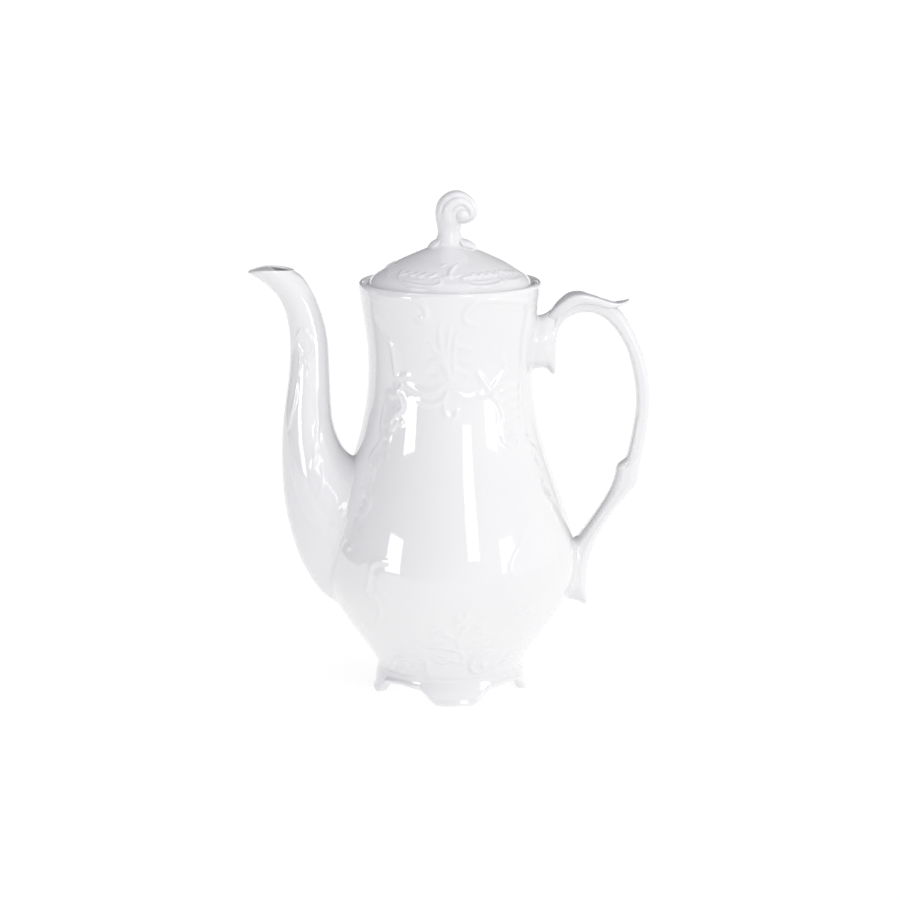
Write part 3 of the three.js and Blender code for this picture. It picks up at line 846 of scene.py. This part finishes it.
def build_spout():
    around, long_rows, reach = 112, 420, 1.1
    phi = full_turn(around)
    t = np.linspace(1.0, 0.0, long_rows)[:, None]
    sections = rib_sections(SPOUT_RIBS[::-1], long_rows, around, spout_section)

    # The mouth's edge dips at the beak and at the back.
    near_mouth = ease((t - 0.93) / 0.07)
    sections[..., 2] += near_mouth * (1.2 * np.sin(phi)**2)[None, :] - 0.1 * near_mouth
    plain = sections.copy()
    round_it = np.roll(sections, -1, axis=1) - np.roll(sections, 1, axis=1)
    normals = np.cross(round_it, np.gradient(sections, axis=0))
    normals /= np.linalg.norm(normals, axis=-1, keepdims=True)
    from_middle = sections - sections.mean(axis=1, keepdims=True)
    normals *= np.sign((normals * from_middle).sum(axis=-1, keepdims=True))
    sections += normals * spout_relief(sections, phi)[..., None]

    outer = fuse(sections, vessel_field, reach, rows=300, skirt_rows=7)
    channel = spout_channel(plain, normals, t)

    middle, half = (outer[0] + channel[0]) / 2, (outer[0] - channel[0]) / 2
    bulge = np.linalg.norm(half, axis=1)[:, None] * np.array([0, 0, 0.9])
    lip = np.array([middle + half * math.cos(k) + bulge * math.sin(k)
                    for k in np.linspace(0.35, math.pi - 0.35, 6)])
    foot = sunk(outer[-1], vessel_field, SINK * 0.4)
    bridge = sunk((channel[-1] + foot) / 2, vessel_field, SINK)
    # The last row meets the first, so the piece is one closed ring of rows.
    shape = ring_of_sections(np.concatenate([outer[::-1], lip, channel, [bridge, foot]]))
    spout = add_piece("swan_neck_spout", shape, "pot", "spout")
    # The second slot holds the bore's darker grey glaze, painted shade for the tube's dark inside; the
    # bore's faces take it below.
    spout.data.materials.append(bore_painted_shade)
    first = (len(outer) + len(lip)) * around
    bore = np.zeros(len(spout.data.polygons), int)
    bore[first:first + len(channel) * around] = 1
    spout.data.polygons.foreach_set("material_index", bore.tolist())


# ---- Handle ---------------------------------------------------------------------

HANDLE_RIBS = [
    (35, 190, 35, 169.5, 14), (42.5, 194.4, 43.5, 168.3, 12.6), (48.4, 196.2, 49, 168.2, 10.8),
    (51.5, 198.2, 53.4, 164.9, 8.6), (54.4, 201, 53.6, 177, 7.2), (57.2, 203.7, 54.8, 186.5, 6.6),
    (61.5, 206.4, 58.6, 192.8, 6.8), (67, 207.4, 65, 196.3, 6.4), (74, 205.6, 72.5, 196.7, 6.1),
    (81.5, 202.6, 79, 193.9, 5.9), (88, 197.2, 84.5, 188.6, 5.8), (93, 189.6, 88.4, 182.9, 5.7),
    (97.4, 180.2, 91.6, 176.4, 5.6), (101, 170.4, 94.2, 167.6, 5.6), (102.9, 158.5, 95.9, 157.6, 5.6),
    (103.1, 147, 96.4, 147.4, 5.6), (102.2, 135.4, 95, 136.8, 5.6), (100.3, 125.6, 93.2, 127.4, 5.7),
    (99.3, 120.6, 91.2, 120.6, 5.9), (98.7, 117.6, 86.9, 116.6, 6.1), (98.1, 112, 85.8, 111.6, 6.2),
    (97, 107.2, 84.2, 106.6, 6.3), (92.6, 101.8, 81.6, 101.2, 6.4), (88, 96.4, 78.4, 95.8, 6.6),
    (83.3, 90.2, 74.8, 90.4, 6.9), (79.2, 83.6, 70.6, 84.4, 7.4), (76.2, 78.4, 67.2, 80, 8),
    (73.9, 72.4, 64.8, 77.8, 8.7), (72.2, 65.6, 63.0, 76.2, 9.4), (71.4, 58, 61.8, 75.4, 10.1),
    (71.2, 50.4, 61.0, 74.8, 10.6), (71.4, 43.2, 60.2, 74.4, 11), (66.6, 45, 57, 73.4, 12),
    (61.6, 46.6, 53, 72.4, 13), (54, 48.6, 47, 71, 13.6),
]


# The thumb rest: a pointed leaf over the top of the loop, turned up at its tip.
LEAF_RIBS = [
    (46.5, 191.6, 48.5, 188.5, 3), (50.5, 196.9, 54.5, 192, 6), (56, 202.9, 60, 197, 8.0),
    (61, 206.5, 63, 199.6, 8.8), (67, 207.5, 68, 201.2, 8.9), (74, 206.0, 74.5, 200.6, 8.6),
    (80.5, 203.7, 80, 199, 7.6), (86, 202.2, 85.6, 199.4, 5.8), (90.4, 202.8, 90, 200.8, 3.4),
    (92, 203.5, 91.8, 202.6, 1.4),
]


def handle_section(phi, t):
    """A band with a rounded inner edge, a groove and a fine bead along its outer edge."""
    c = np.cos(phi)
    c = np.sign(c) * np.abs(c)**0.92
    groove = 1 - 0.05 * np.exp(-((c + 0.55) / 0.2)**2)
    swell = 1 + 0.07 * np.exp(-((c - 0.7) / 0.25)**2)
    waist = 1 - 0.05 * np.exp(-((c - 0.1) / 0.3)**2)
    s = np.sign(np.sin(phi)) * np.abs(np.sin(phi))**0.85
    return c + 0 * t, s * groove * swell * waist + 0 * t


def leaf_section(phi, t):
    """A strip with a flat top, soft upper arrises and a rounded underside."""
    c, s = np.cos(phi), np.sin(phi)
    top = -np.abs(c)**0.25
    return np.where(c < 0, top, np.abs(c)**1.1) + 0 * t, np.sign(s) * np.abs(s)**0.8 + 0 * t


def build_handle():
    sections = rib_sections(HANDLE_RIBS, 700, 72, handle_section)
    rows = fuse(sections, vessel_field, 3.2, rows=300, skirt_rows=8, start_too=True)
    start = under_cap(rows[0], vessel_field)[::-1]
    end = under_cap(rows[-1], vessel_field)
    add_piece("loop_handle", skin(np.concatenate([start, rows, end])), "pot", "handle")


def build_thumb_rest():
    add_piece("thumb_rest_leaf", skin(rib_sections(LEAF_RIBS, 110, 64, leaf_section)), "pot", "handle")


# ---- Lid ------------------------------------------------------------------------

DOME = smooth([(LID_R, EDGE_Z + 1.5), (LID_R - 0.8, EDGE_Z + 3.2), (38.8, EDGE_Z + 5.6),
               (35.2, EDGE_Z + 8.0), (28.2, EDGE_Z + 12.3), (20.5, EDGE_Z + 15.9), (13, EDGE_Z + 19),
               (8, EDGE_Z + 20.7), (3, EDGE_Z + 21.15), (0.4, EDGE_Z + 21.2)], 220)
dome_field = TurnedField(DOME)


def lid_ornament(relief):
    """Two scalloped C-scrolls on the front of the dome with a stem between, and the same behind."""
    def trace(points, width, height, **ends):
        relief.stroke([(a, EDGE_Z + 2.2 + up) for a, up in points], width, height, **ends)

    trace([(-17, 5.9), (-12.5, 5.7), (-12, 4.2), (-15, 3.3), (-23, 2.9), (-33, 3.2), (-44, 4.2),
           (-52, 6.0), (-55, 7.6)], 1.35, 0.95, head=0.7, tail=0.4)
    trace([(10, 6.6), (6.3, 6.4), (6.5, 4.9), (13, 3.1), (24, 2.7), (33, 3.2), (39, 4.4), (38, 5.6)],
          1.35, 0.95, head=0.7, tail=0.5)
    scallops = ((-55, -44), (-44, -35), (-35, -27), (-27, -17), (9, 17), (17, 25), (25, 33), (33, 41))
    for left, right in scallops:
        middle = (left + right) / 2
        trace([(left, 8.3), (middle - 1, 6.9), (middle + 1, 6.9), (right, 8.3)], 1.1, 0.8,
              head=0.7, tail=0.7)
    trace([(-47, 6.0), (-36, 5.2), (-24, 5.3)], 0.9, 0.4)
    trace([(13, 5.2), (22, 4.7), (31, 5.2)], 0.9, 0.4)
    trace([(-4, 6.2), (-4.5, 8.4), (-2, 10.2), (4, 12.2)], 1.4, 0.95, head=0.6, tail=0.4)
    trace([(-4, 7.6), (-8, 6.8), (-11, 7.6)], 1.1, 0.7)
    trace([(-3, 7.8), (1, 7.4), (4, 8.2)], 1.0, 0.6)
    trace([(-15, 10.9), (-10, 12.0), (-5, 11.6), (-3.5, 10.4)], 1.1, 0.6)
    for k in range(4):
        trace([(44 + 7 * k, 6.6 - 0.5 * k), (49 + 7 * k, 8.2 - 0.6 * k), (53 + 7 * k, 6.4 - 0.7 * k)],
              1.0, 0.6)
        trace([(-62 - 6 * k, 4.2 + 0.9 * k), (-67 - 5 * k, 6.4 + 0.8 * k), (-61 - 5 * k, 8.0 + 0.7 * k)],
              1.0, 0.4)
    trace([(44, 4.6), (56, 3.6), (68, 4.6)], 1.0, 0.5)


def build_cover():
    angles = np.linspace(0, 360, LID_COLUMNS, endpoint=False)
    top = evenly(DOME, 90)
    relief = Relief(top, angles)
    lid_ornament(relief)
    relief.soften()
    dome = turned_rings(top, angles) + relief.height[..., None] * outward(top, angles)

    flange_r = COLLAR_R - COLLAR_WALL
    under = smooth([(6, KNOB_PAD_Z - 3), (14, KNOB_PAD_Z - 5), (24, KNOB_PAD_Z - 9),
                    (flange_r - 2, EDGE_Z + 4.6), (flange_r, EDGE_Z)], 24)
    edge = np.vstack([[(LID_R - 1.2, EDGE_Z)], arc((LID_R - 0.8, EDGE_Z + 0.8), 0.8, -80, -5, 5)])
    shape = skin(np.concatenate([turned_rings(np.vstack([under, edge]), angles), dome]))
    lid = add_piece("domed_cover", shape, "lid", "lid_cover")
    cut_holes(lid, [(0, VENT_OUT, KNOB_PAD_Z)], (0, 0, 1), VENT_D, 60)


def build_flange():
    """The collar under the dome, rounded along its lower edge."""
    angles = np.linspace(0, 360, LID_COLUMNS, endpoint=False)
    outer, inner, low, high = COLLAR_R, COLLAR_R - COLLAR_WALL, COLLAR_LOW[2], COLLAR_HIGH[2] + 0.3
    path = np.vstack([arc((outer - 1.2, low + 1.2), 1.2, 0, -90, 7),
                      arc((inner + 1.2, low + 1.2), 1.2, -90, -180, 7), [(inner, high), (outer, high)]])
    shape = ring_of_sections(turned_rings(path, angles).swapaxes(0, 1))
    add_piece("lid_flange", shape, "lid", "lid_collar")


def build_tab():
    """The lock tab: a small bracket on the collar, rounded where it turns under the ledge."""
    middle, half = (TAB_LOW + TAB_HIGH) / 2, (TAB_HIGH - TAB_LOW) / 2
    phi = full_turn(48)
    outline_y = np.sign(np.cos(phi)) * np.abs(np.cos(phi))**0.35 * half[1]
    outline_z = np.sign(np.sin(phi)) * np.abs(np.sin(phi))**0.45 * half[2]
    rings = []
    for k in np.linspace(0, 1, 24):
        shrink = 1.0 if k < 0.6 else math.sqrt(max(1 - ((k - 0.6) / 0.4)**2 * 0.45, 0.05))
        y, z = outline_y * shrink, outline_z * shrink
        inner = -np.sqrt(COLLAR_R**2 - y**2) + 0.6
        rings.append(np.stack([inner + (TAB_LOW[0] - inner) * k, y, middle[2] + z], axis=1))
    add_piece("tab_bracket", skin(np.array(rings)), "lid", "lid_lock_tab")


# ---- Knob -----------------------------------------------------------------------

SCROLL_RIBS = [
    (-7.6, KNOB_PAD_Z - 4, 6.8, KNOB_PAD_Z - 4, 6.8), (-7.2, 235.0, 6.3, 235.6, 6.4),
    (-6.2, 238.4, 5.2, 239, 5.2), (-6.6, 242, 5.6, 241.6, 5.6), (-7.4, 246, 5.6, 244.6, 6.8),
    (-7.3, 250.6, 5.3, 247.4, 7.8), (-5.4, 255.2, 5.2, 248.3, 8.3), (-1.2, 258.8, 5.3, 248.6, 8.5),
    (4, 260, 5.5, 248.6, 8.4), (9.2, 257.9, 5.6, 248.4, 8.0), (12.9, 253.8, 5.6, 248.1, 7.4),
    (14.0, 249.4, 5.5, 247.8, 6.6), (12.6, 245.9, 5.2, 247.4, 5.9), (9.8, 243.9, 4.8, 247.0, 5.2),
    (7.0, 243.2, 4.2, 246.6, 4.4), (4.2, 243.6, 3.2, 246.0, 3.4),
]
EYE_CENTRE, EYE_HALF = (5.9, 0.0, 248.3), (5.2, 8.7, 4.9)
# Each leaf round the stem's foot: its angle from the front, reach, lift and half-width.
KNOB_LEAVES = ((84, 13.8, 0.9, 5.6), (-90, 12.0, 0.2, 5.8))


def knob_section(phi, t):
    """Flutes run along the scroll and fade out at its base."""
    depth = 0.16 * ease((t - 0.2) / 0.25)
    flute = 1 + depth * (np.abs(np.cos(3.5 * phi))**0.8 - 0.65)
    return np.cos(phi) * flute, np.sin(phi) * flute


def build_scroll():
    sections = rib_sections(SCROLL_RIBS, 260, 84, knob_section)[::-1]
    rows = fuse(sections, dome_field, 3.0, rows=180, skirt_rows=8)
    end = under_cap(rows[-1], dome_field)
    add_piece("scroll_knob", skin(np.concatenate([rows, end])), "lid", "lid_knob")


def build_eye():
    """A round button that closes the eye of the scroll on both sides."""
    turn = np.linspace(0, math.pi, 26)[:, None]
    around = full_turn(40)[None, :]
    eye = np.stack([EYE_CENTRE[0] + EYE_HALF[0] * np.sin(turn) * np.cos(around),
                    EYE_CENTRE[1] - EYE_HALF[1] * np.cos(turn) + 0 * around,
                    EYE_CENTRE[2] + EYE_HALF[2] * np.sin(turn) * np.sin(around)], axis=-1)
    add_piece("scroll_eye", skin(eye[1:-1]), "lid", "lid_knob")


def knob_leaf(degrees, reach, lift, wide):
    """Rings of a leaf that lies over the dome and runs out from the stem's foot."""
    a = math.radians(degrees)
    way, side = np.array([math.sin(a), -math.cos(a), 0]), np.array([math.cos(a), math.sin(a), 0])
    # Distance from the axis, height over the dome, and half-width.
    track = np.array([(2.5, 4.6, 1.5), (5.0, 3.6, 0.75 * wide), (6.8, 2.1, wide),
                      (9, 1.1 + lift, 0.95 * wide), (reach - 1.4, 0.4 + lift, 0.7 * wide),
                      (reach, -0.5, 0.6)])
    track[:, 1] += np.interp(track[:, 0], DOME[::-1, 0], DOME[::-1, 1])
    phi = full_turn(28)
    rings = []
    for r, z, w in smooth(track, 44):
        y = np.cos(phi) * w
        rise = np.where(np.sin(phi) > 0, 1.3, 3.4) * np.sin(phi) * (0.25 + 0.75 * w / wide)
        rise = rise - 0.24 * y**2 / max(w, 0.5)
        rings.append(way * r + side * y[:, None] + np.array([0, 0, 1]) * (z + rise)[:, None])
    return np.array(rings)


def build_knob_leaves():
    for k, leaf in enumerate(KNOB_LEAVES):
        add_piece(f"knob_leaf_{k + 1}", skin(knob_leaf(*leaf)), "lid", "lid_knob")


# ---- Studio ---------------------------------------------------------------------

# In metres from here on. The paper turns up a little way behind the pot and ends low.

TABLE_FRONT, TABLE_BACK, SWEEP_BACK, SWEEP_BEND, SWEEP_TOP, HALF_WIDE = -1.02, 0.7, 1.6, 0.4, 0.4, 1.4
LIGHT_TARGET = Vector((0, 0, 0.11))

# Each light: its azimuth (0 is the front, + the handle), elevation, distance, width, height, power.
SOFTBOXES = {
    "left_window": (-57, 7.0, 1.6, 0.40, 0.51, 2.6),
    "right_window": (50, 6.5, 1.6, 0.38, 0.47, 2.0),
    "front_strip": (17.5, 27, 1.9, 0.36, 1.25, 3.3),
    "top": (30, 72, 1.5, 1.4, 1.2, 2.4),
    "high_left": (-62, 52, 1.5, 0.5, 0.5, 1.5),
}


def white_paper():
    """Matt paper that glows a little, so that it stays white where the lights don't reach."""
    paper = bpy.data.materials.new("white_sweep")
    paper.use_nodes = True
    tune(paper.node_tree.nodes["Principled BSDF"], {
        "Base Color": (0.3, 0.3, 0.3, 1), "Roughness": 0.85, "Specular IOR Level": 0.1,
        "Emission Color": (1, 1, 1, 1), "Emission Strength": 0.8,
    })
    return paper


def paper_sheet(name, line, paper):
    """A smooth sheet of paper that follows a line of (y, z)."""
    verts = [(x, y, z) for y, z in line for x in (-HALF_WIDE, HALF_WIDE)]
    faces = [(2 * i, 2 * i + 1, 2 * i + 3, 2 * i + 2) for i in range(len(line) - 1)]
    mesh = bpy.data.meshes.new(name)
    mesh.from_pydata(verts, [], faces)
    mesh.polygons.foreach_set("use_smooth", [True] * len(mesh.polygons))
    mesh.materials.append(paper)
    sheet = bpy.data.objects.new(name, mesh)
    bpy.context.scene.collection.objects.link(sheet)


def build_paper():
    paper = white_paper()
    curve = [(SWEEP_BACK + SWEEP_BEND * math.sin(k), SWEEP_BEND - SWEEP_BEND * math.cos(k))
             for k in np.linspace(0, math.pi / 2, 13)]
    paper_sheet("table", [(TABLE_FRONT, 0.0), (TABLE_BACK, 0.0)], paper)
    paper_sheet("sweep", [(TABLE_BACK, 0.0), *curve, (SWEEP_BACK + SWEEP_BEND, SWEEP_TOP)], paper)


def softbox(name, azimuth, elevation, distance, wide, tall, power):
    """An area light that faces the pot."""
    a, e = math.radians(azimuth), math.radians(elevation)
    away = Vector((math.sin(a) * math.cos(e), -math.cos(a) * math.cos(e), math.sin(e)))
    data = bpy.data.lights.new(name, "AREA")
    data.shape, data.size, data.size_y = "RECTANGLE", wide, tall
    data.energy = power
    light = bpy.data.objects.new(name, data)
    bpy.context.scene.collection.objects.link(light)
    light.location = LIGHT_TARGET + away * distance
    light.rotation_euler = away.to_track_quat("Z", "Y").to_euler()


def build_world():
    """A pale room, brightest on the handle's side, lilac in its shade and dimmer up behind the pot."""
    world = bpy.data.worlds.new("pale_room")
    bpy.context.scene.world = world
    world.use_nodes = True
    nodes, links = world.node_tree.nodes, world.node_tree.links
    look = nodes.new("ShaderNodeTexCoord")

    def toward(direction):
        """How far the view looks in a direction, from -1 to 1."""
        dot = nodes.new("ShaderNodeVectorMath")
        dot.operation = "DOT_PRODUCT"
        dot.inputs[1].default_value = direction
        links.new(look.outputs["Generated"], dot.inputs[0])
        return dot.outputs["Value"]

    def ranged(value, from_min, from_max, to_min, to_max):
        node = nodes.new("ShaderNodeMapRange")
        tune(node, {"From Min": from_min, "From Max": from_max, "To Min": to_min, "To Max": to_max})
        links.new(value, node.inputs["Value"])
        return node

    room = ranged(toward(Vector((0.90, -0.35, -0.25)).normalized()), -1.0, 1.0, 0.3, 1.28)
    gloom = ranged(toward(Vector((0, 0.94, 0.34))), 0.55, 0.92, 1.0, 0.45)
    gloom.interpolation_type = "SMOOTHSTEP"
    tint = colour_ramp(nodes, (0.35, (0.92, 0.90, 1.0)), (1.0, (1.0, 1.0, 1.0)))
    links.new(room.outputs["Result"], tint.inputs["Fac"])
    links.new(tint.outputs["Color"], nodes["Background"].inputs["Color"])
    strength = nodes.new("ShaderNodeMath")
    strength.operation = "MULTIPLY"
    links.new(room.outputs["Result"], strength.inputs[0])
    links.new(gloom.outputs["Result"], strength.inputs[1])
    links.new(strength.outputs["Value"], nodes["Background"].inputs["Strength"])


def build_camera():
    """A long lens from just left of the front, looking a little down."""
    swing, down, distance, height = math.radians(-4.5), math.radians(11.46), 1.5, 0.43
    camera = bpy.data.cameras.new("camera")
    camera.lens, camera.sensor_width = 118.77, 36.0
    viewer = bpy.data.objects.new("camera", camera)
    bpy.context.scene.collection.objects.link(viewer)
    viewer.location = (math.sin(swing) * distance, -math.cos(swing) * distance, height)
    aim = Vector((0, 0, height - distance * math.tan(down)))
    viewer.rotation_euler = (aim - viewer.location).to_track_quat("-Z", "Y").to_euler()
    bpy.context.scene.camera = viewer
    bpy.context.scene.view_settings.view_transform = "Standard"


build_vessel()
build_foot()
build_spout()
build_handle()
build_thumb_rest()
build_cover()
build_flange()
build_tab()
build_scroll()
build_eye()
build_knob_leaves()

build_paper()
for light_name, setting in SOFTBOXES.items():
    softbox(light_name, *setting)
build_world()
build_camera()

bpy.context.view_layer.update()
